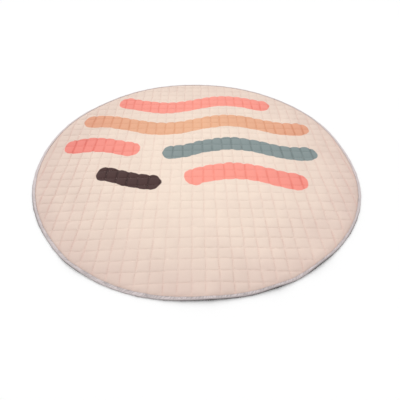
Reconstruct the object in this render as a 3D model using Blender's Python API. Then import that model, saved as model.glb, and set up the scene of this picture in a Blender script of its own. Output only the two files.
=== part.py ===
"""Round quilted play mat for a baby, lying flat on the floor.

Two sewn pieces. The quilted pad is a printed cotton top, a thin filling and a
plain backing, stitched together in a square grid, so it is one filled solid.
The edge binding is a folded cotton strip that wraps the pad's raw edge.

Metres. +Z is up and +Y points away from the viewer. The mat lies on z = 0,
and the origin is the middle of its outline, on the floor.
"""

import math

import bmesh
import bpy
from mathutils import Vector
from mathutils.geometry import delaunay_2d_cdt

MM = 0.001

# Outline: a circle of 1.4 m that handling has pulled a little out of round.
RADIUS = 700 * MM
DIRECTIONS = 120
OUTLINE_SWELLS = [
    # (direction in degrees, outwards in mm, spread in degrees)
    (8, -6, 15),
    (68, 2, 11),
    (112, 3, 12),
    (139, -4, 11),
    (180, -3, 13),
    (231, 3, 5),
    (240, 5, 18),
    (273, -7, 14),
    (298, 2, 5),
    (329, 8, 18),
    (345, 3, 13),
]

# Quilting: rows of stitches both ways. The rows bow and lean a little, and
# near the rim all seams are dragged along with the outline.
QUILT_PITCH = 45.8 * MM
COLUMN_PHASE = 0.62
ROW_PHASE = -0.31
ROW_BOW = 21 * MM
ROW_LEAN = 0.008
DRAG_POWER = 3
SEAM_HEIGHT = 5.6 * MM
CREST_HEIGHT = 9.0 * MM
PUFF_FULLNESS = 0.4
PUFF_FADE = 16 * MM
FADE_POWER = 0.7

# Corners of the facets that raise one quilting square, as shares of its side:
# the seam crossing, the puff's four shoulders and its crown.
LOW = 0.27
HIGH = 1 - LOW
CROSSING = (0, 0)
SHOULDERS = [(LOW, LOW), (HIGH, LOW), (HIGH, HIGH), (LOW, HIGH)]
CROWN = (0.5, 0.5)
SQUARE_CORNERS = [(0, 0), (1, 0), (1, 1), (0, 1)]

# Rim of the pad, thinned and falling outwards where the binding grips it.
PAD_EDGE_INSET = 2.1 * MM
PAD_EDGE_TOP = 2.8 * MM
SHOULDER_INSET = 5.0 * MM
SHOULDER_TOP = 3.2 * MM
GRIP_INSET = 14.0 * MM
GRIP_TOP = 5.4 * MM
GRIP_BOTTOM = 1.4 * MM
UNDERSIDE_FALL = 26 * MM
QUILT_CLEARANCE = 6 * MM

# Binding section: distance in from the outline, and height above the rim's
# own resting level, from the top inner edge round the outside and back inside.
BINDING_SECTION = [
    # (inset in mm, height in mm)
    (12.0, 7.0),
    (5.0, 4.8),
    (2.0, 4.2),
    (0.0, 2.8),
    (0.0, 1.6),
    (2.0, 0.4),
    (5.0, 0.0),
    (12.0, 0.0),
    (12.0, 1.0),
    (1.75, 1.0),
    (1.75, 3.2),
    (5.0, 3.6),
    (12.0, 5.35),
]

# Places where the rim stands a little off the floor.
RIM_LIFTS = [
    # (direction in degrees, height in mm, spread in degrees)
    (20, 2, 14),
    (150, 2, 12),
    (234, 3, 6),
    (272, 5, 9),
    (291, 5, 5),
    (306, 5, 6),
]
LIFT_REACH = 110 * MM
UNDERSIDE_RINGS = (UNDERSIDE_FALL, 52 * MM, 80 * MM, LIFT_REACH)

CREAM = (0.83, 0.68, 0.58)
LAVENDER_GREY = (0.58, 0.50, 0.48)


def bells(direction, rows):
    """Sum of soft bumps around the rim, in metres, at a direction in degrees."""
    total = 0.0
    for centre, height, spread in rows:
        away = (direction - centre + 180) % 360 - 180
        total += height * MM * math.exp(-(away / spread) ** 2)
    return total


def outline_radius(direction):
    """Distance from the quilting's centre to the mat's outline."""
    return RADIUS + bells(direction, OUTLINE_SWELLS)


def rim_lift(direction, inset):
    """How far the mat stands off the floor at this distance in from its edge."""
    inwards = min(max(inset / LIFT_REACH, 0), 1)
    return bells(direction, RIM_LIFTS) * (1 - inwards) ** 2


def directions():
    """The directions, in degrees, of the outline's corners."""
    return [360 * step / DIRECTIONS for step in range(DIRECTIONS)]


def outline_middle():
    """Middle of the outline's box, which is moved to the origin."""
    corners = [ring_point(direction, 0) for direction in directions()]
    xs = [corner.x for corner in corners]
    ys = [corner.y for corner in corners]
    return Vector(((min(xs) + max(xs)) / 2, (min(ys) + max(ys)) / 2))


def ring_point(direction, inset):
    """A point at this distance in from the outline, about the quilting's centre."""
    reach = outline_radius(direction) - inset
    angle = math.radians(direction)
    return Vector((reach * math.cos(angle), reach * math.sin(angle)))


def direction_of(place):
    """Direction of a point from the quilting's centre, in degrees."""
    return math.degrees(math.atan2(place.y, place.x)) % 360


def seam_place(column, row):
    """Where quilting column and row numbers meet on the smoothed-out mat."""
    x = (column + COLUMN_PHASE) * QUILT_PITCH
    bow = ROW_BOW * (1 - (x / RADIUS) ** 2) + ROW_LEAN * x
    place = Vector((x, (row + ROW_PHASE) * QUILT_PITCH + bow))
    share = (place.length / RADIUS) ** DRAG_POWER
    drag = bells(direction_of(place), OUTLINE_SWELLS) * share
    return place * (1 + drag / RADIUS)


def puff(column, row):
    """Loft of the filling between the seams: 0 on a seam, 1 at a square's middle."""
    return abs(math.sin(math.pi * column) * math.sin(math.pi * row)) ** PUFF_FULLNESS


def inset_of(place):
    """Distance of a point in from the outline."""
    return outline_radius(direction_of(place)) - place.length


def top_height(place, loft):
    """Height of the printed top at a place with this loft."""
    inset = inset_of(place)
    fade = min(max((inset - GRIP_INSET) / PUFF_FADE, 0), 1)
    crest = GRIP_TOP + (CREST_HEIGHT - GRIP_TOP) * fade ** FADE_POWER
    height = SEAM_HEIGHT + (crest - SEAM_HEIGHT) * loft
    return height + rim_lift(direction_of(place), inset)


def quilt_point(column, row, spot):
    """Name of a facet corner, shared by the squares that meet there."""
    return round(column + spot[0], 3), round(row + spot[1], 3)


def quilt_squares():
    """Column and row of every square that may reach inside the outline."""
    reach = int(RADIUS / QUILT_PITCH) + 2
    for column in range(-reach, reach):
        for row in range(-reach, reach):
            yield column, row


def quilt_points():
    """Facet corners of the quilting that lie clear of the grip."""
    places = {}
    for column, row in quilt_squares():
        for spot in [CROSSING, CROWN] + SHOULDERS:
            point = quilt_point(column, row, spot)
            place = seam_place(*point)
            if inset_of(place) > GRIP_INSET + QUILT_CLEARANCE:
                places[point] = place
    return places


def quilt_creases(places):
    """Pairs of corners joined by a seam or by an edge of the puff's facets."""
    pairs = [(CROSSING, (1, 0)), (CROSSING, (0, 1))]
    pairs += zip(SHOULDERS, SHOULDERS[1:] + SHOULDERS[:1])
    pairs += zip(SHOULDERS, SQUARE_CORNERS)
    pairs += [(shoulder, CROWN) for shoulder in SHOULDERS]
    creases = []
    for column, row in quilt_squares():
        for one, other in pairs:
            ends = quilt_point(column, row, one), quilt_point(column, row, other)
            if ends[0] in places and ends[1] in places:
                creases.append(ends)
    return creases


def add_quilted_top(mesh, grip_ring):
    """Fill the grip ring with the quilted top's facets."""
    places = quilt_points()
    keys = list(places)
    first = len(grip_ring)
    number = {key: first + count for count, key in enumerate(keys)}
    flat = [vert.co.xy for vert in grip_ring]
    flat += [places[key] for key in keys]
    edges = [(number[a], number[b]) for a, b in quilt_creases(places)]
    found = delaunay_2d_cdt(flat, edges, [list(range(first))], 1, 1e-6)
    corners, triangles, sources = found[0], found[2], found[3]
    verts = []
    for corner, source in zip(corners, sources):
        if source[0] < first:
            verts.append(grip_ring[source[0]])
            continue
        height = top_height(corner, puff(*keys[source[0] - first]))
        verts.append(mesh.verts.new((corner.x, corner.y, height)))
    for triangle in triangles:
        mesh.faces.new([verts[corner] for corner in triangle])


def add_ring(mesh, inset, height):
    """One ring of points at this inset, on the mat's own rim level."""
    ring = []
    for direction in directions():
        place = ring_point(direction, inset)
        ring.append(mesh.verts.new((*place, height + rim_lift(direction, inset))))
    return ring


def join_rings(mesh, rings):
    """Faces between each ring and the next."""
    for one, other in zip(rings, rings[1:]):
        for step in range(DIRECTIONS):
            after = (step + 1) % DIRECTIONS
            mesh.faces.new((one[step], other[step], other[after], one[after]))


def finish_piece(mesh, name, colour, roughness):
    """Turn a closed bmesh into a named object with its own material."""
    middle = outline_middle()
    bmesh.ops.translate(mesh, verts=mesh.verts, vec=(-middle.x, -middle.y, 0))
    bmesh.ops.triangulate(mesh, faces=mesh.faces)
    bmesh.ops.recalc_face_normals(mesh, faces=mesh.faces)
    data = bpy.data.meshes.new(name)
    mesh.to_mesh(data)
    mesh.free()
    material = bpy.data.materials.new(name)
    material.use_nodes = True
    shader = material.node_tree.nodes["Principled BSDF"]
    shader.inputs["Base Color"].default_value = (*colour, 1)
    shader.inputs["Roughness"].default_value = roughness
    shader.inputs["Metallic"].default_value = 0
    data.materials.append(material)
    piece = bpy.data.objects.new(name, data)
    bpy.context.scene.collection.objects.link(piece)
    return piece


def make_quilted_pad():
    """Printed top, filling and backing, quilted together."""
    mesh = bmesh.new()
    grip_top = add_ring(mesh, GRIP_INSET, GRIP_TOP)
    rings = [
        grip_top,
        add_ring(mesh, SHOULDER_INSET, SHOULDER_TOP),
        add_ring(mesh, PAD_EDGE_INSET, PAD_EDGE_TOP),
        add_ring(mesh, PAD_EDGE_INSET, GRIP_BOTTOM),
        add_ring(mesh, GRIP_INSET, GRIP_BOTTOM),
    ]
    rings += [add_ring(mesh, inset, 0) for inset in UNDERSIDE_RINGS]
    join_rings(mesh, rings)
    mesh.faces.new(rings[-1])
    add_quilted_top(mesh, grip_top)
    return finish_piece(mesh, "quilted_pad", CREAM, 0.9)


def make_edge_binding():
    """Folded strip that wraps the pad's edge, open towards the middle."""
    mesh = bmesh.new()
    rings = [add_ring(mesh, inset * MM, height * MM) for inset, height in BINDING_SECTION]
    join_rings(mesh, rings + rings[:1])
    return finish_piece(mesh, "edge_binding", LAVENDER_GREY, 0.85)


def clear_scene():
    """Start from an empty scene."""
    for thing in list(bpy.data.objects):
        bpy.data.objects.remove(thing, do_unlink=True)


clear_scene()
make_quilted_pad()
make_edge_binding()
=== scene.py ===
# %% [markdown]
# A round quilted play mat for a baby lies flat on a white studio floor. It is
# a printed cotton top, a thin filling and a plain backing, stitched together
# in a square grid, with a folded strip bound over the raw edge. Everything
# below is in metres, in the frame of the imported model: +Z is up, +Y points
# away from the viewer and the origin is the middle of the mat, on the floor.
# The imported solids already have the right size and place, so the first step
# is to load them.

# %% Load the imported model
import math

import bpy
import numpy as np
from mathutils import Euler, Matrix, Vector


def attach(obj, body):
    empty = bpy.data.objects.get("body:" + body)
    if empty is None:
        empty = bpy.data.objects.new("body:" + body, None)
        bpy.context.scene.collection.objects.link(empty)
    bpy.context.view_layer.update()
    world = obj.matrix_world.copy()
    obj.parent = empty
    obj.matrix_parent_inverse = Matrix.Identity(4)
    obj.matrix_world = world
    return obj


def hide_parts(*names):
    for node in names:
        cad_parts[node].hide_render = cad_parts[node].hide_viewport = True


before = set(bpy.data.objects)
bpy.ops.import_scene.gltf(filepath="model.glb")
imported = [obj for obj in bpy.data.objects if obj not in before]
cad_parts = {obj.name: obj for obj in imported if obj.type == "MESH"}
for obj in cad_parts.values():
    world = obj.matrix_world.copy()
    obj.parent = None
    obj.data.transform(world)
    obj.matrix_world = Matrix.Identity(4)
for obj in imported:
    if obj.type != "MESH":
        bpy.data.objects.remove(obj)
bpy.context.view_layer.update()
MM = 0.001
print("solids:", sorted(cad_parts))

# %% [markdown]
# The sizes are the ones that the solids were made with, so that each visible
# piece lies on the solid it stands for. A few differ by a millimetre or less,
# because cloth is softer than the solids: the seams wander a little, the
# crests are lower and the gripped edge is thinner. The mat is a 1.4 m circle
# that has been pulled a little out of round by handling. Such a shape is
# easiest to say as a circle plus a few soft bumps, each with a direction, a
# height and a spread, because every bump can then be read off the photograph
# by itself.

# %% Sizes of the mat
RADIUS = 700 * MM
OUTLINE_CORNERS = 120
OUTLINE_SWELLS = [
    # (direction in degrees, outwards in mm, spread in degrees)
    (8, -6, 15),
    (68, 2, 11),
    (112, 3, 12),
    (139, -4, 11),
    (180, -3, 13),
    (231, 3, 5),
    (240, 5, 18),
    (273, -7, 14),
    (298, 2, 5),
    (329, 8, 18),
    (345, 3, 13),
]
RIM_LIFTS = [
    # (direction in degrees, height in mm, spread in degrees)
    (20, 2, 14),
    (150, 2, 12),
    (234, 3, 6),
    (272, 5, 9),
    (291, 5, 5),
    (306, 5, 6),
]
LIFT_REACH = 110 * MM

QUILT_PITCH = 45.8 * MM
COLUMN_PHASE = 0.62
ROW_PHASE = -0.31
ROW_BOW = 21 * MM
ROW_LEAN = 0.008
DRAG_POWER = 3
SEAM_WANDER = 1.1 * MM
# Change of the wander's phase for each column and for each row.
COLUMN_WANDER = (2.6, 1.9)
ROW_WANDER = (1.3, 3.1)
SQUARES_OUT = int(RADIUS / QUILT_PITCH) + 2

SEAM_HEIGHT = 5.6 * MM
CREST_HEIGHT = 8.8 * MM
GRIP_INSET = 14.0 * MM
GRIP_TOP = 5.2 * MM
GRIP_BOTTOM = 1.8 * MM
BINDING_WIDTH = 12.0 * MM
print("quilting squares across the mat:", round(2 * RADIUS / QUILT_PITCH, 1))

# %% [markdown]
# Every piece below asks where the rim is, how far in from it a point lies and
# where two seams cross, so these are small functions. The quilting was sewn
# before the mat was pulled out of round, so its seams are dragged along with
# the outline, most of all near the rim.

# %% Helpers for the outline and the quilting
def bells(direction, rows):
    """Sum of soft bumps around the rim, in metres, at directions in degrees."""
    total = np.zeros_like(np.asarray(direction, float))
    for centre, height, spread in rows:
        away = (direction - centre + 180) % 360 - 180
        total += height * MM * np.exp(-((away / spread) ** 2))
    return total


def direction_of(x, y):
    return np.degrees(np.arctan2(y, x)) % 360


def outline_radius(direction):
    return RADIUS + bells(direction, OUTLINE_SWELLS)


def inset_of(x, y):
    """Distance of a point in from the outline, about the quilting's centre."""
    return outline_radius(direction_of(x, y)) - np.hypot(x, y)


def ring_points(direction, inset):
    reach = outline_radius(direction) - inset
    angle = np.radians(direction)
    return reach * np.cos(angle), reach * np.sin(angle)


def rim_lift(direction, inset):
    inwards = np.clip(inset / LIFT_REACH, 0, 1)
    return bells(direction, RIM_LIFTS) * (1 - inwards) ** 2


def wander(column, row, phases):
    return SEAM_WANDER * np.sin(phases[0] * column + phases[1] * row)


def seam_place(column, row):
    """Where quilting column and row numbers meet, dragged along by the rim."""
    x = (column + COLUMN_PHASE) * QUILT_PITCH + wander(column, row, COLUMN_WANDER)
    y = (row + ROW_PHASE) * QUILT_PITCH + wander(column, row, ROW_WANDER)
    y = y + ROW_BOW * (1 - (x / RADIUS) ** 2) + ROW_LEAN * x
    share = (np.hypot(x, y) / RADIUS) ** DRAG_POWER
    drag = 1 + bells(direction_of(x, y), OUTLINE_SWELLS) * share / RADIUS
    return x * drag, y * drag


rim_x, rim_y = ring_points(np.arange(OUTLINE_CORNERS) * 360 / OUTLINE_CORNERS, 0)
MIDDLE = ((rim_x.min() + rim_x.max()) / 2, (rim_y.min() + rim_y.max()) / 2)
print("outline's middle from the quilting's centre:", [round(m / MM, 2) for m in MIDDLE], "mm")

# %% [markdown]
# The camera comes early, because it decides how much detail each piece
# needs. It was fitted to the outline and to the rows and columns of the
# quilting, whose squares must come out square. It stands less than a metre
# above the floor at the near side, looks down at 46 degrees and is turned and
# tipped by about one degree.

# %% Camera
CAMERA_PLACE = (-0.0067, -1.169, 0.9421)
CAMERA_DOWN = 46.0
CAMERA_TURN = -1.26
CAMERA_ROLL = 0.88
LENS_MM = 29.55
SENSOR_MM = 36

camera = bpy.data.objects.new("camera", bpy.data.cameras.new("camera"))
bpy.context.scene.collection.objects.link(camera)
camera.data.sensor_width = SENSOR_MM
camera.data.lens = LENS_MM
camera.location = Vector(CAMERA_PLACE) - Vector((*MIDDLE, 0))
turn = Euler((math.radians(90 - CAMERA_DOWN), 0, math.radians(CAMERA_TURN))).to_matrix()
roll = Euler((0, 0, math.radians(CAMERA_ROLL))).to_matrix()
camera.rotation_euler = (turn @ roll).to_euler()
bpy.context.scene.camera = camera
print("camera at", [round(c, 3) for c in camera.location])

# %% [markdown]
# Each quilting square is a small pillow. The stitches gather the cotton along
# the seams, so there is spare cloth between them: it rises over the filling
# and puckers where it meets the thread. A formula gives the rise but not the
# puckers, so a patch of four by four squares is simulated as cloth. Every
# point on a seam is held, the cloth is told to be a few per cent larger than
# the space it has, and a gentle pressure stands for the filling. The patch is
# simulated at ten times its size, where the solver is steady, and its squares
# are then used all over the mat, turned and flipped at random.

# %% Simulate a patch of quilting
PATCH_SQUARES = 4
PATCH_STEPS = 20
PATCH_SCALE = 10
PATCH_ROUGHNESS = 0.02
PATCH_FRAMES = 24
SPARE_CLOTH = 0.05
CLOTH_SETTINGS = {
    "quality": 6,
    "mass": 0.2,
    "tension_stiffness": 12,
    "compression_stiffness": 12,
    "shear_stiffness": 4,
    "bending_stiffness": 0.35,
    "vertex_group_mass": "stitched",
    "shrink_min": -SPARE_CLOTH,
    "use_pressure": True,
    "uniform_pressure_force": 1.2,
}
chance = np.random.default_rng(7)


def patch_mesh(side, spacing):
    """A flat square grid of points with a slight random unevenness."""
    along = np.arange(side) * spacing
    x, y = np.meshgrid(along, along, indexing="ij")
    z = chance.normal(0, PATCH_ROUGHNESS * spacing, x.shape)
    number = np.arange(side * side).reshape(side, side)
    corners = [number[:-1, :-1], number[1:, :-1], number[1:, 1:], number[:-1, 1:]]
    quads = np.stack(corners, -1)
    mesh = bpy.data.meshes.new("patch")
    points = np.stack([x, y, z], -1).reshape(-1, 3)
    mesh.from_pydata(points.tolist(), [], quads.reshape(-1, 4).tolist())
    return mesh


def simulate_patch():
    """Heights of the patch's points above its seams, as a grid."""
    side = PATCH_SQUARES * PATCH_STEPS + 1
    spacing = QUILT_PITCH * PATCH_SCALE / PATCH_STEPS
    patch = bpy.data.objects.new("patch", patch_mesh(side, spacing))
    bpy.context.scene.collection.objects.link(patch)
    held = patch.vertex_groups.new(name="stitched")
    steps = np.arange(side) % PATCH_STEPS == 0
    on_seam = (steps[:, None] | steps[None, :]).reshape(-1)
    held.add(np.flatnonzero(on_seam).tolist(), 1.0, "REPLACE")
    cloth = patch.modifiers.new("cloth", "CLOTH")
    for setting, value in CLOTH_SETTINGS.items():
        setattr(cloth.settings, setting, value)
    cloth.settings.effector_weights.gravity = 0
    cloth.collision_settings.use_collision = False
    cloth.point_cache.frame_end = PATCH_FRAMES
    for step in range(1, PATCH_FRAMES + 1):
        bpy.context.scene.frame_set(step)
    settled = patch.evaluated_get(bpy.context.evaluated_depsgraph_get())
    heights = np.array([vert.co.z for vert in settled.data.vertices]).reshape(side, side)
    bpy.data.objects.remove(patch, do_unlink=True)
    bpy.context.scene.frame_set(1)
    return heights / PATCH_SCALE


patch_heights = simulate_patch()
print("patch rises", round(patch_heights.max() / MM, 1), "mm")

# %% [markdown]
# The patch is cut into its sixteen squares and each is scaled so that its
# middle has a loft of one. Points are wanted close together beside a seam,
# where the cloth turns sharply, and far apart on the crown, so the squares
# are read at uneven steps. The steps are the same from both ends, so that a
# square can be flipped.

# %% Sample the simulated squares
TOP_STEPS = np.array([0, 0.035, 0.09, 0.18, 0.32, 0.5, 0.68, 0.82, 0.91, 0.965])
UNDER_STEPS = np.array([0, 0.09, 0.32, 0.68, 0.91])
UNDER_FULLNESS = 0.4
TIGHTNESS = 0.34
CROWN = slice(4, 7)
HIGHEST_LOFT = 1.25


def read_square(heights, steps):
    """Loft of one simulated square, read at the wanted steps and at its end."""
    at = np.append(steps, 1) * PATCH_STEPS
    low = np.minimum(at.astype(int), PATCH_STEPS - 1)
    share = at - low
    lines = heights[low] * (1 - share)[:, None] + heights[low + 1] * share[:, None]
    return lines[:, low] * (1 - share) + lines[:, low + 1] * share


def simulated_squares():
    squares = []
    for column in range(PATCH_SQUARES):
        for row in range(PATCH_SQUARES):
            first, second = column * PATCH_STEPS, row * PATCH_STEPS
            heights = patch_heights[first:, second:][:PATCH_STEPS + 1, :PATCH_STEPS + 1]
            square = read_square(heights, TOP_STEPS)
            middle = square[CROWN, CROWN].mean()
            squares.append(np.clip(square / middle, 0, HIGHEST_LOFT) ** TIGHTNESS)
    return squares


def any_way_round(square):
    """The square turned and flipped at random."""
    turned = np.rot90(square, chance.integers(4))
    return turned.T if chance.random() < 0.5 else turned


SQUARES = simulated_squares()
print("lofts beside the seam:", np.round(SQUARES[0][5, :5], 2))

# %% [markdown]
# The height of the cloth has several causes on the real mat: crests stand
# above the seams, the filling is a little uneven, the middle is pressed lower,
# there is a dip where the binding is sewn on, and the rim is thinner inside
# it. Each is one term of a formula, so each can be set by itself.

# %% Heights of the top and the backing
PAD_RIM_INSET = 4 * MM
UNDERSIDE_FALL = 26 * MM
UNDER_SEAM_RISE = 1.5 * MM
PUFF_FADE = 16 * MM
FADE_POWER = 0.7
# How far in from the edge the seams begin and end to come free of the grip.
SEAM_FREE = (0.7 * GRIP_INSET, 1.8 * GRIP_INSET)
CREST_SPREAD = 0.035
CREST_RANGE = (0.88, 1.1)
MIDDLE_PRESSED = 0.28
# Waves across the mat: change of phase a metre along x and y, and its start.
FILLING_SWELL = 0.45 * MM
FILLING_WAVES = [(9.1, 2.3, 0.7), (4.7, -8.3, 2.1)]
SEAM_SWELL = 0.28 * MM
SEAM_WAVES = [(26.0, 7.0, 0.0), (-9.0, 31.0, 1.3)]
RIM_FALL = 2.1 * MM
SEWN_DIP = 1.8 * MM
DIP_INSET = 14.0 * MM
DIP_SPREAD = 4.2 * MM
NEAR_SIDE = (270, 1, 75)
FAR_SHARE = 0.05


def soft_step(value, low, high):
    share = np.clip((value - low) / (high - low), 0, 1)
    return share * share * (3 - 2 * share)


def near_side(direction):
    """One at the near rim, where the cloth is pulled down most and the painted shade is
    strongest, and less elsewhere.
    """
    return np.minimum(FAR_SHARE + bells(direction, [NEAR_SIDE]) / MM, 1)


def swell(x, y, height, waves):
    """Slow unevenness from place to place, as a sum of waves."""
    return height * sum(np.sin(a * x + b * y + phase) for a, b, phase in waves)


def top_height(x, y, loft):
    """Height of the printed top at a place with this loft."""
    inset = inset_of(x, y)
    direction = direction_of(x, y)
    fade = np.clip((inset - GRIP_INSET) / PUFF_FADE, 0, 1) ** FADE_POWER
    crest = GRIP_TOP + (CREST_HEIGHT - GRIP_TOP) * fade
    crest = crest + swell(x, y, FILLING_SWELL, FILLING_WAVES) * fade
    free_seam = SEAM_HEIGHT + swell(x, y, SEAM_SWELL, SEAM_WAVES)
    seam = GRIP_TOP + (free_seam - GRIP_TOP) * soft_step(inset, *SEAM_FREE)
    pressed = 1 - MIDDLE_PRESSED * (1 - (np.hypot(x, y) / RADIUS) ** 2)
    height = seam + (crest - seam) * loft * pressed
    dip = SEWN_DIP * near_side(direction)
    dip = dip * np.exp(-(((inset - DIP_INSET) / DIP_SPREAD) ** 2))
    fall = RIM_FALL * (1 - soft_step(inset, PAD_RIM_INSET, GRIP_INSET))
    return height - dip - fall + rim_lift(direction, inset)


def under_height(x, y, loft):
    """Height of the backing: flat on the floor but for its seams and its rim."""
    inset = inset_of(x, y)
    fall = 1 - soft_step(inset, BINDING_WIDTH, UNDERSIDE_FALL)
    groove = UNDER_SEAM_RISE * (1 - loft) ** 2
    height = np.maximum(GRIP_BOTTOM * fall, groove * (1 - fall))
    return height + rim_lift(direction_of(x, y), inset)


middle_heights = [round(float(top_height(0.0, 0.0, loft)) / MM, 1) for loft in (1, 0)]
print("crest and seam in the middle:", middle_heights, "mm")

# %% [markdown]
# The pad is one closed mesh: the printed top, the side that is hidden in the
# binding, and the backing. Top and backing are grids that follow the
# quilting, so the seams are real rows of edges. A grid does not end in a
# circle by itself, so every face that reaches inside the outline is kept and
# the points that lie outside are drawn in to the rim.

# %% Cut the top and the backing round
def quilt_lines(steps):
    """Quilting numbers of all grid lines one way, across the whole mat."""
    whole = np.arange(-SQUARES_OUT, SQUARES_OUT)
    return (whole[:, None] + steps[None, :]).reshape(-1)


def top_lofts():
    """Loft at every point of the top's grid, square by square."""
    count = 2 * SQUARES_OUT
    side = len(TOP_STEPS)
    lofts = np.zeros((count * side, count * side))
    for column in range(count):
        for row in range(count):
            square = any_way_round(SQUARES[chance.integers(len(SQUARES))])
            fill = np.clip(chance.normal(1, CREST_SPREAD), *CREST_RANGE)
            block = lofts[column * side:, row * side:][:side, :side]
            block[:] = square[:side, :side] * fill
    return lofts


def plain_lofts(steps):
    rise = np.abs(np.sin(np.pi * quilt_lines(steps)))
    return (rise[:, None] * rise[None, :]) ** UNDER_FULLNESS


def cut_round(steps, lofts, height_of):
    """Points, faces and quilting numbers of one surface, drawn in to the rim."""
    lines = quilt_lines(steps)
    columns, rows = np.meshgrid(lines, lines, indexing="ij")
    x, y = seam_place(columns, rows)
    inset = inset_of(x, y)
    inside = inset > PAD_RIM_INSET
    number = np.arange(inside.size).reshape(inside.shape)
    low, high = slice(None, -1), slice(1, None)
    corners = [(low, low), (high, low), (high, high), (low, high)]
    kept = np.any([inside[corner] for corner in corners], axis=0)
    faces = np.stack([number[corner][kept] for corner in corners], -1)
    reach = np.hypot(x, y)
    pull = np.where(inside, 1, (reach + inset - PAD_RIM_INSET) / reach)
    x, y = x * pull, y * pull
    z = height_of(x, y, np.where(inside, lofts, 0))
    used = np.unique(faces)
    renumber = np.full(inside.size, -1)
    renumber[used] = np.arange(len(used))
    points = np.stack([x, y, z], -1).reshape(-1, 3)[used]
    quilt = np.stack([columns, rows, lofts], -1).reshape(-1, 3)[used]
    return points, renumber[faces], quilt


top_points, top_faces, top_quilt = cut_round(TOP_STEPS, top_lofts(), top_height)
under_lofts = plain_lofts(UNDER_STEPS)
under_points, under_faces, under_quilt = cut_round(UNDER_STEPS, under_lofts, under_height)
print("top faces:", len(top_faces), "backing faces:", len(under_faces))

# %% [markdown]
# The two rims have different numbers of points. They are joined by a strip of
# triangles that steps along whichever rim is behind.

# %% Find the rims and join them
def rim_loop(faces):
    """The open edge of a surface, as point numbers in order, anticlockwise."""
    edges = np.concatenate([faces[:, [k, (k + 1) % 4]] for k in range(4)])
    known = set(map(tuple, edges.tolist()))
    after = {a: b for a, b in known if (b, a) not in known}
    start = min(after)
    loop = [start]
    while after[loop[-1]] != start:
        loop.append(after[loop[-1]])
    return loop


def from_east(loop, points):
    """The loop started at its lowest direction, and its directions."""
    angles = direction_of(points[loop, 0], points[loop, 1])
    first = int(np.argmin(angles))
    loop = loop[first:] + loop[:first]
    angles = np.roll(angles, -first)
    return loop + loop[:1], np.append(np.maximum.accumulate(angles), 360 + angles[0])


def zip_rims(top, top_angles, under, under_angles):
    """Triangles between two rims, stepping along whichever is behind."""
    triangles = []
    i = j = 0
    last_i, last_j = len(top) - 1, len(under) - 1
    while i < last_i or j < last_j:
        if j == last_j or (i < last_i and top_angles[i + 1] <= under_angles[j + 1]):
            triangles.append((top[i], under[j], top[i + 1]))
            i += 1
        else:
            triangles.append((under[j], under[j + 1], top[i]))
            j += 1
    return triangles


print("points on the two rims:", len(rim_loop(top_faces)), len(rim_loop(under_faces)))

# %% [markdown]
# The parts become one object. Its points also carry what the material has to
# know: where they lie in the quilting, whether they are on the printed side,
# and how much painted shade they take in the ditch beside the binding.

# %% Join the surfaces into one pad
QUILT_MARK = "quilt"
PRINTED_MARK = "printed"
DITCH_MARK = "ditch"
DITCH_WIDTH = 6 * MM


def new_piece(name, points, faces):
    """A mesh object, shifted so that the outline's middle is the origin."""
    mesh = bpy.data.meshes.new(name)
    placed = np.asarray(points) - np.array([*MIDDLE, 0])
    mesh.from_pydata(placed.tolist(), [], faces)
    mesh.validate()
    mesh.shade_smooth()
    piece = bpy.data.objects.new(name, mesh)
    bpy.context.scene.collection.objects.link(piece)
    return piece


def mark(piece, name, kind, values):
    """Store values at a mesh's points, where its material can read them."""
    layer = piece.data.attributes.new(name, kind, "POINT")
    field = "vector" if kind == "FLOAT_VECTOR" else "value"
    layer.data.foreach_set(field, np.asarray(values, np.float32).reshape(-1))


def make_pad():
    first = len(top_points)
    points = np.concatenate([top_points, under_points])
    top_rim = from_east(rim_loop(top_faces), points)
    under_loop = [first + number for number in rim_loop(under_faces)]
    under_rim = from_east(under_loop, points)
    faces = top_faces.tolist()
    faces += (under_faces + first)[:, ::-1].tolist()
    faces += zip_rims(*top_rim, *under_rim)
    pad = new_piece("quilted_cloth", points, faces)
    mark(pad, QUILT_MARK, "FLOAT_VECTOR", np.concatenate([top_quilt, under_quilt]))
    printed = np.concatenate([np.ones(len(top_points)), np.zeros(len(under_points))])
    mark(pad, PRINTED_MARK, "FLOAT", printed)
    inset = inset_of(points[:, 0], points[:, 1])
    # Painted shade in the ditch beside the binding, strongest at the near rim.
    ditch = near_side(direction_of(points[:, 0], points[:, 1]))
    ditch = ditch * (1 - soft_step(inset, BINDING_WIDTH, BINDING_WIDTH + DITCH_WIDTH))
    mark(pad, DITCH_MARK, "FLOAT", ditch)
    return pad


pad = make_pad()
pad.data.calc_loop_triangles()
print("pad triangles:", len(pad.data.loop_triangles))

# %% [markdown]
# The binding is a cotton strip folded over the pad's raw edge and sewn
# through with one row of stitches. A straight strip has to go round a curve,
# so its inner edges are gathered and it puckers at a slant every few
# millimetres. That is a sweep: one U-shaped section, carried round the
# outline, with the puckers added as small ridges along the surface's own
# normal.

# %% Shape of the binding's section
BINDING_TOP = 7.0 * MM
FOLD_TOP = 4.8 * MM
NOSE_HEIGHT = 2.8 * MM
UPPER_FOLD = 5.0 * MM
LOWER_FOLD = 4.5 * MM
FOLD_SQUARENESS = 2.3
LEG_POINTS = 5
FOLD_POINTS = 6
LINING = [
    # (inset in mm, height in mm) of the side that faces the pad
    (12.0, 1.0),
    (3.4, 1.2),
    (2.8, 3.2),
    (12.0, 5.55),
]
STITCH_INSET = 9.6 * MM
STITCH_PULL = 0.9 * MM
STITCH_SPREAD = 1.3 * MM


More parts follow.
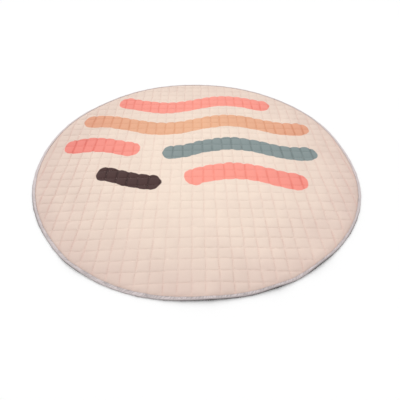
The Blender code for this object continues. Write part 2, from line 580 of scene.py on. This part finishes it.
def outer_section():
    """Insets and heights from the inner top edge, round the fold, to below."""
    leg = np.linspace(BINDING_WIDTH, UPPER_FOLD, LEG_POINTS, endpoint=False)
    angle = np.linspace(np.pi / 2, 0, FOLD_POINTS)
    power = 2 / FOLD_SQUARENESS
    out, up = np.cos(angle) ** power, np.sin(angle) ** power
    rise = NOSE_HEIGHT + (FOLD_TOP - NOSE_HEIGHT) * up
    below, drop = out[::-1][1:], up[::-1][1:]
    insets = [leg, UPPER_FOLD * (1 - out), LOWER_FOLD * (1 - below), [BINDING_WIDTH]]
    slope = np.linspace(BINDING_TOP, FOLD_TOP, LEG_POINTS, endpoint=False)
    heights = [slope, rise, NOSE_HEIGHT * (1 - drop), [0]]
    return np.concatenate(insets), np.concatenate(heights)


def section_normals(insets, heights):
    """Outward direction at each point of the section, as (out, up)."""
    along = np.stack([np.gradient(-insets), np.gradient(heights)], -1)
    normal = np.stack([-along[:, 1], along[:, 0]], -1)
    return normal / np.linalg.norm(normal, axis=1)[:, None]


section_insets, section_heights = outer_section()
section_out = section_normals(section_insets, section_heights)
print("section points:", len(section_insets), "first normal", np.round(section_out[1], 2))

# %% [markdown]
# The puckers are a formula, not a simulation, because they are only a few
# millimetres apart on an edge of more than four metres. The row of stitches
# pulls the strip down and holds its hem flatter. The strip is a little wider
# in some places than in others, and shade is painted into its colour low
# down along the floor and in its creases.

# %% Sweep the puckered binding round the mat
BINDING_STEPS = 3200
PUCKER_LENGTH = 11.6 * MM
PUCKER_HEIGHT = 1.5 * MM
PUCKER_SLANT = 0.75
PUCKER_ROUNDNESS = 0.8
PUCKER_SINK = 0.45 * PUCKER_HEIGHT
# What is left of the gathers inside the stitches, and where along the leg the
# strip begins to be wider or narrower.
HEM_SHARE = 0.6
EDGE_FROM = 0.6
# Unevenness round the rim: its size, its waves in one turn and its seed.
PUCKER_DRIFTS = [(1.5, (61, 83, 127), 3), (0.8, (211, 173), 5)]
PUCKER_STRENGTH = 0.65
PUCKER_CHANGE = (0.35, (37, 59, 97), 11)
EDGE_CHANGE = (0.5 * MM, (23, 41, 67, 101), 17)
# Painted shade low on the binding's fold, where it meets the floor, strongest at the near rim
# and at the listed places.
PAINTED_SHADE_MARK = "painted_shade"
PAINTED_SHADE_BELOW = 3.2 * MM
PAINTED_SHADE_TO = 4.6 * MM
PAINTED_SHADE_REACH = 0.9 * MM
PAINTED_SHADE_NEAR = 0.42
PAINTED_SHADE_PLACES = [
    # (direction in degrees, strength, spread in degrees)
    (207, 0.56, 20),
    (234, 0.3, 6),
    (274, 0.48, 13),
    (291, 0.45, 5),
    (307, 0.62, 8),
    (326, 0.5, 10),
]
CREASE_SHADE = 0.45
CREASE_HEIGHT = 0.6 * PUCKER_HEIGHT
WIDTH_CHANGES = [
    # (direction in degrees, wider by mm, spread in degrees)
    (195, 1, 12),
    (320, -2, 24),
]


def uneven(along, size, waves, seed):
    """A smooth random value round the rim, of about this size, that closes on itself."""
    draw = np.random.default_rng(seed)
    total = np.zeros_like(along)
    for turns in waves:
        total += np.sin(2 * np.pi * (turns * along + draw.random()))
    return size * (total / math.sqrt(len(waves)))


def pucker(along, path):
    """Height of the gathers at a share of the way round and along the section."""
    turns = round(2 * np.pi * RADIUS / PUCKER_LENGTH)
    phase = np.pi * (turns * along + path / PUCKER_LENGTH * PUCKER_SLANT)
    for drift in PUCKER_DRIFTS:
        phase = phase + uneven(along, *drift)
    strength = PUCKER_STRENGTH + uneven(along, *PUCKER_CHANGE)
    return PUCKER_HEIGHT * strength * np.abs(np.sin(phase)) ** PUCKER_ROUNDNESS


def swept_faces(steps, side):
    """Faces of a closed section with this many points swept in a closed ring."""
    number = np.arange(steps * side).reshape(steps, side)
    onward = np.roll(number, -1, axis=0)
    quads = [number, np.roll(number, -1, 1), np.roll(onward, -1, 1), onward]
    return np.stack(quads, -1).reshape(-1, 4).tolist()


def make_binding():
    share = np.arange(BINDING_STEPS) / BINDING_STEPS
    direction = 360 * share
    wider = uneven(share, *EDGE_CHANGE) + bells(direction, WIDTH_CHANGES)
    lengths = np.hypot(np.diff(section_insets), np.diff(section_heights))
    path = np.append(0, np.cumsum(lengths))
    # Strength of the painted shade round the rim.
    shade_strength = PAINTED_SHADE_NEAR * near_side(direction) + bells(direction, PAINTED_SHADE_PLACES) / MM
    shade_strength = np.minimum(shade_strength, 1)
    rings, painted_shade = [], []
    for inset, height, out, way in zip(section_insets, section_heights, section_out, path):
        gather = pucker(share, way)
        pull = STITCH_PULL * math.exp(-(((inset - STITCH_INSET) / STITCH_SPREAD) ** 2))
        hold = HEM_SHARE if inset > STITCH_INSET else 1.0
        push = hold * gather - pull - PUCKER_SINK
        edge = wider * soft_step(inset / BINDING_WIDTH, EDGE_FROM, 1)
        place = inset - push * out[0] + edge
        x, y = ring_points(direction, place)
        z = np.maximum(height + push * out[1], 0) + rim_lift(direction, inset)
        rings.append(np.stack([x, y, z], -1))
        # Painted shade in the creases between puckers and on the fold's low part.
        low = np.clip(1 - gather / CREASE_HEIGHT, 0, 1)
        crease = CREASE_SHADE * near_side(direction) * low
        clear = soft_step(height - PAINTED_SHADE_REACH * shade_strength, PAINTED_SHADE_BELOW, PAINTED_SHADE_TO)
        painted_shade.append(np.maximum(crease, (1 - clear) * shade_strength))
    for inset, height in LINING:
        edge = wider if inset * MM == BINDING_WIDTH else 0
        x, y = ring_points(direction, inset * MM + edge)
        z = height * MM + rim_lift(direction, inset * MM)
        rings.append(np.stack([x, y, z], -1))
        painted_shade.append(0 * share)
    points = np.stack(rings, 1).reshape(-1, 3)
    strip = new_piece("bound_edge", points, swept_faces(BINDING_STEPS, len(rings)))
    mark(strip, PAINTED_SHADE_MARK, "FLOAT", np.stack(painted_shade, 1))
    return strip


binding = make_binding()
print("binding triangles:", 2 * len(binding.data.polygons))

# %% [markdown]
# The stitches are real geometry too. A lockstitch shows as a row of short
# threads that dip into the cloth at both ends, so each stitch is a slim
# spindle of eight faces lying in the bottom of its seam. There are about nine
# and a half thousand of them, so they are worked out as arrays and joined
# into one mesh for the rows, one for the columns and one for the binding.

# %% Sew the seams
STITCHES_A_SQUARE = 6
STITCH_SHARE = 0.66
THREAD_WIDTH = 0.55 * MM
THREAD_HEIGHT = 0.35 * MM
THREAD_BELLY = 0.3
THREAD_RAISED = THREAD_HEIGHT / 3 - 0.08 * MM
BINDING_STITCH = 4.3 * MM
BINDING_STITCH_SINK = STITCH_PULL + 0.3 * PUCKER_HEIGHT


def spindles(name, starts, ends):
    """One mesh of slim threads from each start to each end."""
    along = ends - starts
    along = along / np.linalg.norm(along, axis=1)[:, None]
    up = np.array([0.0, 0.0, 1.0])
    across = np.cross(along, up)
    middle = (starts + ends) / 2
    wide = across * THREAD_WIDTH / 2
    tall = up * THREAD_HEIGHT
    belly = middle - THREAD_BELLY * tall
    corners = [starts, ends, middle + wide, middle + tall, middle - wide, belly]
    points = np.stack(corners, 1)
    points[:, :, 2] += THREAD_RAISED
    around = [(2, 3), (3, 4), (4, 5), (5, 2)]
    pattern = np.array([(0, a, b) for a, b in around] + [(1, b, a) for a, b in around])
    first = len(corners) * np.arange(len(starts))
    faces = (pattern + first[:, None, None]).reshape(-1, 3)
    return new_piece(name, points.reshape(-1, 3), faces.tolist())


def seam_points(columns, rows):
    x, y = seam_place(columns, rows)
    return np.stack([x, y, top_height(x, y, 0 * x)], -1)


def sew(name, along_rows):
    """Stitches on all rows, or on all columns, that reach inside the binding."""
    seams = np.arange(-SQUARES_OUT, SQUARES_OUT)
    starts = np.arange(-SQUARES_OUT, SQUARES_OUT, 1 / STITCHES_A_SQUARE)
    seam, start = (grid.reshape(-1) for grid in np.meshgrid(seams, starts, indexing="ij"))
    end = start + STITCH_SHARE / STITCHES_A_SQUARE
    one, other = ((start, seam), (end, seam)) if along_rows else ((seam, start), (seam, end))
    first, last = seam_points(*one), seam_points(*other)
    shows = np.minimum(inset_of(*first.T[:2]), inset_of(*last.T[:2])) > BINDING_WIDTH
    return spindles(name, first[shows], last[shows])


def sew_binding():
    """One row of stitches through the binding, near its inner edge."""
    count = round(2 * np.pi * RADIUS / BINDING_STITCH)
    first = 360 * np.arange(count) / count
    fall = (BINDING_WIDTH - STITCH_INSET) / (BINDING_WIDTH - UPPER_FOLD)
    leg = BINDING_TOP + (FOLD_TOP - BINDING_TOP) * fall
    ends = []
    for direction in (first, first + 360 * STITCH_SHARE / count):
        x, y = ring_points(direction, STITCH_INSET + bells(direction, WIDTH_CHANGES))
        z = leg - BINDING_STITCH_SINK + rim_lift(direction, STITCH_INSET)
        ends.append(np.stack([x, y, z], -1))
    return spindles("binding_stitches", *ends)


row_stitches = sew("row_stitches", True)
column_stitches = sew("column_stitches", False)
binding_stitches = sew_binding()
for piece in (row_stitches, column_stitches, binding_stitches):
    print(piece.name, "has", len(piece.data.polygons), "triangles")

# %% [markdown]
# The materials are built from nodes alone. Three effects are shared, so each
# is a node group: a plain weave for the bump of the cotton, a soft unevenness
# of tone, and one broad painted stroke of the print. A small helper keeps the
# node code short: it adds a node, sets its options and either sets each input
# or links it. What is used often, such as noise and sums, has its own helper.

# %% Helpers for nodes
def add_node(tree, kind, inputs=(), **options):
    node = tree.nodes.new(kind)
    for option, value in options.items():
        setattr(node, option, value)
    for socket, value in dict(inputs).items():
        if isinstance(value, bpy.types.NodeSocket):
            tree.links.new(value, node.inputs[socket])
        else:
            node.inputs[socket].default_value = value
    return node


def maths(tree, operation, *values, clamp=False):
    """The result of one Math node."""
    options = {"operation": operation, "use_clamp": clamp}
    return add_node(tree, "ShaderNodeMath", enumerate(values), **options).outputs[0]


def times(tree, first, second):
    return maths(tree, "MULTIPLY", first, second)


def scaled(tree, value, gain, base):
    """The value times a gain, plus a base."""
    return maths(tree, "MULTIPLY_ADD", value, gain, base)


def vector_maths(tree, operation, *values):
    """One Vector Math node, with the result in its first output or in "Value"."""
    return add_node(tree, "ShaderNodeVectorMath", enumerate(values), operation=operation)


def noise(tree, vector, scale, detail):
    inputs = {"Vector": vector, "Scale": scale, "Detail": detail}
    return add_node(tree, "ShaderNodeTexNoise", inputs).outputs["Fac"]


def parts_of(tree, vector):
    """The x, y and z of a vector."""
    return add_node(tree, "ShaderNodeSeparateXYZ", {0: vector}).outputs


def marked(tree, name, output="Fac"):
    """Values that were stored at the mesh's points."""
    return add_node(tree, "ShaderNodeAttribute", attribute_name=name).outputs[output]


def object_place(tree):
    return add_node(tree, "ShaderNodeTexCoord").outputs["Object"]


def new_group(name, inputs, outputs):
    """A shader node group with its two end nodes."""
    group = bpy.data.node_groups.new(name, "ShaderNodeTree")
    for way, sockets in (("INPUT", inputs), ("OUTPUT", outputs)):
        for socket, kind in sockets:
            group.interface.new_socket(socket, in_out=way, socket_type=kind)
    return group, group.nodes.new("NodeGroupInput"), group.nodes.new("NodeGroupOutput")


def use_group(tree, group, inputs):
    return add_node(tree, "ShaderNodeGroup", inputs, node_tree=group).outputs[0]


def mix_colours(tree, factor, first, second):
    """The first colour changed to the second where the factor is one."""
    # A colour mix keeps its sockets after those of the other kinds.
    inputs = {0: factor, 6: first, 7: second}
    return add_node(tree, "ShaderNodeMix", inputs, data_type="RGBA").outputs[2]


def linear(red, green, blue):
    """A colour of 0 to 255 screen values in linear ones, by the sRGB formula."""
    def one(value):
        value = value / 255
        return value / 12.92 if value <= 0.04045 else ((value + 0.055) / 1.055) ** 2.4
    return one(red), one(green), one(blue), 1.0


print("screen value 128 in linear light:", round(linear(128, 128, 128)[0], 3))

# %% [markdown]
# In a plain weave each thread passes over one and under the next, which looks
# like a tiny chequer of bumps. The product of two sine waves gives just that.
# The threads are about 0.7 mm apart. Slow noise makes some threads thicker
# than others, as in real cotton.

# %% The weave
FLOAT, VECTOR, COLOUR = "NodeSocketFloat", "NodeSocketVector", "NodeSocketColor"
THREAD_SPACING = 0.7 * MM
SLUB = 0.4
SLUB_SCALE = 260.0


def make_weave_group():
    inputs = [("Vector", VECTOR), ("Thread Spacing", FLOAT), ("Slub", FLOAT)]
    group, start, end = new_group("plain weave", inputs, [("Height", FLOAT)])
    value = start.outputs
    x, y, _ = parts_of(group, value["Vector"])
    turns = maths(group, "DIVIDE", math.pi, value["Thread Spacing"])
    warp = maths(group, "SINE", times(group, x, turns))
    weft = maths(group, "SINE", times(group, y, turns))
    over = times(group, warp, weft)
    thicker = noise(group, value["Vector"], SLUB_SCALE, 2.0)
    slub = times(group, thicker, value["Slub"])
    half = scaled(group, over, 0.5, slub)
    group.links.new(half, end.inputs["Height"])
    return group


weave_group = make_weave_group()
print("group made:", weave_group.name)

# %% [markdown]
# Washed cotton is never one flat tone. One group darkens and lightens a
# colour a little, in broad patches and in fine flecks, and takes a mask of
# painted shade, so that the cloth can be made a touch deeper where shade
# falls, as beside the stitches.

# %% Uneven tone
BROAD_SCALE = 5.0
FINE_SCALE = 900.0


def make_tone_group():
    inputs = [("Vector", VECTOR), ("Color", COLOUR), ("Amount", FLOAT), ("Deepen", FLOAT)]
    group, start, end = new_group("uneven tone", inputs, [("Color", COLOUR)])
    value = start.outputs
    broad = noise(group, value["Vector"], BROAD_SCALE, 2.0)
    fine = noise(group, value["Vector"], FINE_SCALE, 1.0)
    # Two noises have a mean of one together.
    signed = maths(group, "SUBTRACT", maths(group, "ADD", broad, fine), 1.0)
    swing = times(group, signed, value["Amount"])
    kept = maths(group, "SUBTRACT", 1.0, value["Deepen"])
    bright = {"Value": maths(group, "ADD", swing, kept), "Color": value["Color"]}
    tone = add_node(group, "ShaderNodeHueSaturation", bright)
    group.links.new(tone.outputs["Color"], end.inputs["Color"])
    return group


tone_group = make_tone_group()
print("group made:", tone_group.name)

# %% [markdown]
# The print is a generic one of broad brush strokes with round ends, in the
# same four colours and the same band width as the cloth in the photograph,
# laid in rows over the far two thirds. One group draws one stroke. It works
# in quilting squares, not in metres, so the print follows the cloth. The
# distance to a gently waving line with two ends, less half the width, is
# below zero inside the stroke. A little noise makes the edge look painted by
# hand, and the swell draws it in at the columns, where the seams take up
# cloth.

# %% One painted stroke
STROKE_INPUTS = ("Left", "Right", "Line", "Width", "Swell")
WAVE_HEIGHT = 0.8
WAVE_LENGTH = 14.0
EDGE_SHARPNESS = 14.0
EDGE_WOBBLE = 0.10
EDGE_SCALE = 0.8


def make_stroke_group():
    inputs = [("Vector", VECTOR)] + [(name, FLOAT) for name in STROKE_INPUTS]
    group, start, end = new_group("painted stroke", inputs, [("Mask", FLOAT)])
    value = start.outputs
    unsteady = maths(group, "SUBTRACT", noise(group, value["Vector"], EDGE_SCALE, 2.0), 0.5)
    wobble = times(group, unsteady, 2 * EDGE_WOBBLE)
    along, across, _ = parts_of(group, value["Vector"])
    half = times(group, value["Width"], 0.5)
    low = maths(group, "ADD", value["Left"], half)
    high = maths(group, "SUBTRACT", value["Right"], half)
    nearest = maths(group, "MINIMUM", maths(group, "MAXIMUM", along, low), high)
    angle = times(group, nearest, 2 * math.pi / WAVE_LENGTH)
    wave = maths(group, "SINE", angle)
    line = scaled(group, wave, WAVE_HEIGHT, value["Line"])
    beside = maths(group, "SUBTRACT", along, nearest)
    above = maths(group, "SUBTRACT", across, line)
    square = times(group, above, above)
    distance = maths(group, "SQRT", maths(group, "MULTIPLY_ADD", beside, beside, square))
    reach = maths(group, "ADD", maths(group, "ADD", half, wobble), value["Swell"])
    inwards = maths(group, "SUBTRACT", reach, distance)
    mask = maths(group, "MULTIPLY_ADD", inwards, EDGE_SHARPNESS, 0.5, clamp=True)
    group.links.new(mask, end.inputs["Mask"])
    return group


stroke_group = make_stroke_group()
print("group made:", stroke_group.name)

# %% [markdown]
# The cloth's own material puts these together. The quilting numbers that were
# stored at the mesh's points tell it where a seam is and where the print
# goes. A seam shows as a fine line of painted shade, where the cloth dips.
# The line is dotted, darker where the thread goes down between two
# stitches, and it is stronger in some places than in others.

# %% Shade of the seams
SEAM_SHADE_WIDTH = 0.15
SEAM_SHADES = [
    # (axis across the seam, axis along it, shade all along it, shade at its holes)
    (0, 1, 0.005, 0.028),
    (1, 0, 0.0, 0.010),
]
# The columns' painted shade grows towards the mat's sides.
SIDE_POWER = 2.0
SIDE_GAIN = 1.8
# How the seams' strength drifts from place to place.
DRIFT_SCALE = 13.0
DRIFT_GAIN = 3.2
DRIFT_BASE = -0.6
DRIFT_LEAST = 0.2


def share_of_radius(tree, length, power):
    """A distance from the middle as a share of the mat's radius, to a power."""
    return maths(tree, "POWER", maths(tree, "DIVIDE", length, RADIUS), power)


def seam_distance(tree, number):
    """Distance to the nearest seam one way, in quilting squares."""
    part = maths(tree, "FRACT", maths(tree, "ADD", number, 0.5))
    return maths(tree, "ABSOLUTE", maths(tree, "SUBTRACT", part, 0.5))


def near_seam(tree, distance, width):
    """One on a seam, fading to nothing at this distance from it."""
    return maths(tree, "SUBTRACT", 1.0, maths(tree, "DIVIDE", distance, width), clamp=True)


def needle_holes(tree, along):
    """One between two stitches, where the thread dips into the cloth."""
    middle = math.pi * (1 + STITCH_SHARE)
    turns = scaled(tree, along, 2 * math.pi * STITCHES_A_SQUARE, -middle)
    return scaled(tree, maths(tree, "COSINE", turns), 0.5, 0.5)


def seam_painted_shade(tree, quilt, place, sideways):
    """Painted shade on the seams: how much deeper the cloth is there, dotted and stronger in
    some places.
    """
    numbers = parts_of(tree, quilt)
    lines = []
    for across, along, depth, holes in SEAM_SHADES:
        line = near_seam(tree, seam_distance(tree, numbers[across]), SEAM_SHADE_WIDTH)
        seam_shade = scaled(tree, needle_holes(tree, numbers[along]), holes, depth)
        lines.append(times(tree, line, seam_shade))
    outer = share_of_radius(tree, sideways, SIDE_POWER)
    gain = scaled(tree, outer, SIDE_GAIN, 1.0)
    lines[0] = times(tree, lines[0], gain)
    drift = noise(tree, place, DRIFT_SCALE, 1.0)
    strength = scaled(tree, drift, DRIFT_GAIN, DRIFT_BASE)
    strength = maths(tree, "MAXIMUM", strength, DRIFT_LEAST)
    return times(tree, maths(tree, "MAXIMUM", *lines), strength)


print("needle holes along one square:", STITCHES_A_SQUARE)

# %% [markdown]
# The unpainted cotton is cream with patches of blush, and painted shade makes it
# pinker and darker towards the rim, less so on the far side, with a warmer tint
# in its painted seam shade. The strokes are painted one after another over it,
# and each paint is deeper towards the mat's sides with painted shade.

# %% Cream and paint
CREAM = (243, 224, 208)
BLUSH_AND_RIM_SHADE = (219, 196, 185)
# Each paint in the middle of the mat, and at its left and right rim, where painted shade makes
# it deeper.
CORAL = ((252, 158, 143), (235, 132, 123))
SAND = ((236, 180, 144), (220, 151, 125))
SAGE = ((136, 149, 149), (130, 143, 143))
BROWN = ((76, 51, 49), (72, 48, 46))
STROKES = [
    # (colour, left, right, line, width), in quilting squares
    (CORAL, -9.2, 8.8, 9.7, 2.4),
    (SAND, -12.5, 12.3, 5.4, 2.4),
    (CORAL, -13.4, -5.7, 1.1, 2.4),
    (SAGE, -3.5, 12.2, 1.1, 2.2),
    (BROWN, -9.4, -3.2, -3.2, 2.0),
    (CORAL, -1.2, 10.2, -3.2, 2.4),
]
SCALLOP = 0.10
SCALLOP_WIDTH = 0.28
# Painted shade deepens the paints towards the sides by this power.
SIDE_FADING = 1.6
# The warm colour of the painted shade in the cream's seams, and its gain.
SEAM_TINT = (233, 190, 178)
SEAM_TINT_GAIN = 6.0
# Painted shade towards the rim, and how much less of it the far side has.
RIM_FADING = 2.5
FAR_LESS_RIM_SHADE = 0.5
BLUSH_SCALE = 9.0
BLUSH_PATCHES = 0.6


def unpainted_cotton(tree, place, ahead, seam_shade):
    """Cream, with blush in patches, painted shade towards the rim and tinted painted shade in
    its seams.
    """
    outwards = vector_maths(tree, "LENGTH", place).outputs["Value"]
    towards_rim = share_of_radius(tree, outwards, RIM_FADING)
    far = maths(tree, "DIVIDE", maths(tree, "MAXIMUM", ahead, 0.0), RADIUS)
    less_rim_shade = scaled(tree, far, -FAR_LESS_RIM_SHADE, 1.0)
    towards_rim = times(tree, towards_rim, less_rim_shade)
    patches = noise(tree, place, BLUSH_SCALE, 3.0)
    patches = scaled(tree, patches, BLUSH_PATCHES, -BLUSH_PATCHES / 2)
    blush_and_rim_shade = maths(tree, "ADD", towards_rim, patches, clamp=True)
    colour = mix_colours(tree, blush_and_rim_shade, linear(*CREAM), linear(*BLUSH_AND_RIM_SHADE))
    tint = maths(tree, "MULTIPLY", seam_shade, SEAM_TINT_GAIN, clamp=True)
    return mix_colours(tree, tint, colour, linear(*SEAM_TINT))


def paint_strokes(tree, colour, quilt, sideways):
    """The cotton with the strokes over it, and one wherever there is paint."""
    centred = vector_maths(tree, "ADD", quilt, (COLUMN_PHASE, ROW_PHASE, 0)).outputs[0]
    flat = vector_maths(tree, "MULTIPLY", centred, (1, 1, 0)).outputs[0]
    column = parts_of(tree, quilt)[0]
    drawn_in = near_seam(tree, seam_distance(tree, column), SCALLOP_WIDTH)
    swell_by = times(tree, drawn_in, -SCALLOP)
    to_sides = share_of_radius(tree, sideways, SIDE_FADING)
    printed = marked(tree, PRINTED_MARK)
    painted = 0.0
    for (middle, sides), *places in STROKES:
        # Painted shade deepens each paint towards the mat's sides.
        paint_here = mix_colours(tree, to_sides, linear(*middle), linear(*sides))
        inputs = {"Vector": flat, **dict(zip(STROKE_INPUTS, [*places, swell_by]))}
        mask = times(tree, use_group(tree, stroke_group, inputs), printed)
        colour = mix_colours(tree, mask, colour, paint_here)
        painted = maths(tree, "MAXIMUM", mask, painted)
    return colour, painted


print("strokes in the print:", len(STROKES))

# %% [markdown]
# Every cotton here has a faint sheen, is otherwise quite rough and shows its
# weave as a fine bump. In a seam the print is deeper in colour than the cream,
# because the light bounces twice off the paint. The backing is plain cream.

# %% Printed cotton
COTTON_SHEEN = 0.12
SHEEN_ROUGHNESS = 0.5
COTTON_SPECULAR = 0.25
CLOTH_ROUGHNESS = 0.85
WEAVE_BUMP = 0.25
WEAVE_DEPTH = 0.2 * MM
PRINTED_UNEVENNESS = 0.10
PRINTED_SEAM_GAIN = 1.2
PRINTED_SEAM_DEPTH = 6.5
DEEPEST_PAINT = 0.26
DEEPEST_SEAM = 0.26
DITCH_SHADE = 0.17


def new_material(name, roughness):
    material = bpy.data.materials.new(name)
    material.use_nodes = True
    shader = material.node_tree.nodes["Principled BSDF"]
    shader.inputs["Roughness"].default_value = roughness
    shader.inputs["Sheen Weight"].default_value = COTTON_SHEEN
    shader.inputs["Sheen Roughness"].default_value = SHEEN_ROUGHNESS
    shader.inputs["Specular IOR Level"].default_value = COTTON_SPECULAR
    return material, material.node_tree, shader


def finish_cotton(tree, shader, tone, weave_place):
    """Give the shader its toned colour and the bump of its weave."""
    tree.links.new(use_group(tree, tone_group, tone), shader.inputs["Base Color"])
    height = use_group(tree, weave_group, {
        "Vector": weave_place, "Thread Spacing": THREAD_SPACING, "Slub": SLUB,
    })
    inputs = {"Height": height, "Strength": WEAVE_BUMP, "Distance": WEAVE_DEPTH}
    bump = add_node(tree, "ShaderNodeBump", inputs)
    tree.links.new(bump.outputs["Normal"], shader.inputs["Normal"])


def make_printed_cotton():
    material, tree, shader = new_material("printed cotton", CLOTH_ROUGHNESS)
    quilt = marked(tree, QUILT_MARK, "Vector")
    place = object_place(tree)
    x, ahead, _ = parts_of(tree, place)
    sideways = maths(tree, "ABSOLUTE", x)
    seam_shade = seam_painted_shade(tree, quilt, place, sideways)
    colour = unpainted_cotton(tree, place, ahead, seam_shade)
    colour, painted = paint_strokes(tree, colour, quilt, sideways)
    # Light that bounces twice off a paint has its colour raised to a power.
    depth = times(tree, seam_shade, painted)
    depth = times(tree, depth, PRINTED_SEAM_DEPTH)
    power = maths(tree, "ADD", maths(tree, "MINIMUM", depth, DEEPEST_PAINT), 1.0)
    deeper = add_node(tree, "ShaderNodeGamma", {"Color": colour, "Gamma": power})
    # Painted shade in the seams, stronger in the paint.
    gain = scaled(tree, painted, PRINTED_SEAM_GAIN, 1.0)
    by_seam = maths(tree, "MINIMUM", times(tree, seam_shade, gain), DEEPEST_SEAM)
    # Painted shade in the ditch beside the binding.
    by_ditch = times(tree, marked(tree, DITCH_MARK), DITCH_SHADE)
    finish_cotton(tree, shader, {
        "Vector": place, "Color": deeper.outputs["Color"], "Amount": PRINTED_UNEVENNESS,
        "Deepen": maths(tree, "MAXIMUM", by_seam, by_ditch),
    }, place)
    return material


printed_cotton = make_printed_cotton()
pad.data.materials.append(printed_cotton)
print("material made:", printed_cotton.name)

# %% [markdown]
# The binding and the threads are plainer. The binding is a lavender grey
# cotton whose weave runs on the bias, at 45 degrees, and shade is painted into
# its colour in its creases and underneath, along the floor. Threads are a
# little shinier than cloth.

# %% Binding cotton and threads
BINDING_COLOUR = (213, 202, 202)
QUILTING_THREAD = (222, 190, 177)
BINDING_THREAD = (178, 167, 167)
PAINTED_SHADE_DEPTH = 0.95
THREAD_ROUGHNESS = 0.6
PLAIN_UNEVENNESS = 0.12


def make_plain_cotton(name, colour, weave_angle, roughness):
    material, tree, shader = new_material(name, roughness)
    place = object_place(tree)
    turn = {"Vector": place, "Rotation": (0, 0, math.radians(weave_angle))}
    turned = add_node(tree, "ShaderNodeMapping", turn).outputs["Vector"]
    finish_cotton(tree, shader, {
        "Vector": place, "Color": linear(*colour), "Amount": PLAIN_UNEVENNESS,
        # Painted shade that was stored at the binding's points.
        "Deepen": times(tree, marked(tree, PAINTED_SHADE_MARK), PAINTED_SHADE_DEPTH),
    }, turned)
    return material


binding_cotton = make_plain_cotton("binding cotton", BINDING_COLOUR, 45, CLOTH_ROUGHNESS)
quilting_thread = make_plain_cotton("quilting thread", QUILTING_THREAD, 0, THREAD_ROUGHNESS)
binding_thread = make_plain_cotton("binding thread", BINDING_THREAD, 0, THREAD_ROUGHNESS)
binding.data.materials.append(binding_cotton)
binding_stitches.data.materials.append(binding_thread)
for piece in (row_stitches, column_stitches):
    piece.data.materials.append(quilting_thread)
print("plain materials:", [m.name for m in (binding_cotton, quilting_thread, binding_thread)])

# %% [markdown]
# The mat was photographed on a white sweep under very soft light from above
# and a little behind: the floor is white right up to a narrow grey line along
# the near rim. A world that is a little brighter overhead than at the horizon,
# and tipped slightly away from the viewer, lights the whole floor equally. One
# weak softbox behind the mat adds the narrow shadow on the viewer's side. It
# stands so far off that it lights near and far floor alike, so it is made as a
# sun lamp with a wide angle, not as an area lamp, whose light would fall off.

# %% Floor and light
FLOOR_SIZE = 16.0
FLOOR_WHITE = 0.97
FLOOR_ROUGHNESS = 0.9
DOME_AXIS = Vector((-0.18, 0.20, 0.96)).normalized()
DOME_FOCUS = 0.35
DOME_STRENGTH = 1.163
DOME_BASE = 0.03
SOFTBOX_STRENGTH = 0.29
SOFTBOX_SPREAD = math.radians(32)
SOFTBOX_PLACE = (-0.9, 3.9, 2.3)


def make_floor():
    bpy.ops.mesh.primitive_plane_add(size=FLOOR_SIZE)
    floor = bpy.context.object
    floor.name = "floor"
    material = bpy.data.materials.new("white floor")
    material.use_nodes = True
    shader = material.node_tree.nodes["Principled BSDF"]
    shader.inputs["Base Color"].default_value = (FLOOR_WHITE, FLOOR_WHITE, FLOOR_WHITE, 1)
    shader.inputs["Roughness"].default_value = FLOOR_ROUGHNESS
    shader.inputs["Specular IOR Level"].default_value = 0.0
    floor.data.materials.append(material)


def add_far_softbox():
    lamp = bpy.data.lights.new("softbox", "SUN")
    lamp.angle = SOFTBOX_SPREAD
    lamp.energy = SOFTBOX_STRENGTH
    holder = bpy.data.objects.new("softbox", lamp)
    bpy.context.scene.collection.objects.link(holder)
    holder.location = SOFTBOX_PLACE
    holder.rotation_euler = (-Vector(SOFTBOX_PLACE)).to_track_quat("-Z", "Y").to_euler()


def light_world():
    """A world that is brightest around one direction."""
    world = bpy.data.worlds.new("studio dome")
    world.use_nodes = True
    tree = world.node_tree
    towards = add_node(tree, "ShaderNodeTexCoord").outputs["Generated"]
    facing = vector_maths(tree, "DOT_PRODUCT", towards, DOME_AXIS).outputs["Value"]
    glow = maths(tree, "POWER", maths(tree, "MAXIMUM", facing, 0.0), DOME_FOCUS)
    strength = scaled(tree, glow, DOME_STRENGTH, DOME_BASE)
    background = tree.nodes["Background"]
    background.inputs["Color"].default_value = (1, 1, 1, 1)
    tree.links.new(strength, background.inputs["Strength"])
    bpy.context.scene.world = world


make_floor()
add_far_softbox()
light_world()
bpy.context.scene.view_settings.view_transform = "Standard"
print("softbox:", SOFTBOX_STRENGTH, "W per square metre from", SOFTBOX_PLACE)

# %% [markdown]
# Last, every piece is tied to the imported model. All of them ride on its one
# body, since nothing on a mat moves. The pad stands for the padded solid and
# the bound edge for the binding's solid.

for piece in (pad, binding, row_stitches, column_stitches, binding_stitches):
    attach(piece, "root")
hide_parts("quilted_pad")
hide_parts("edge_binding")
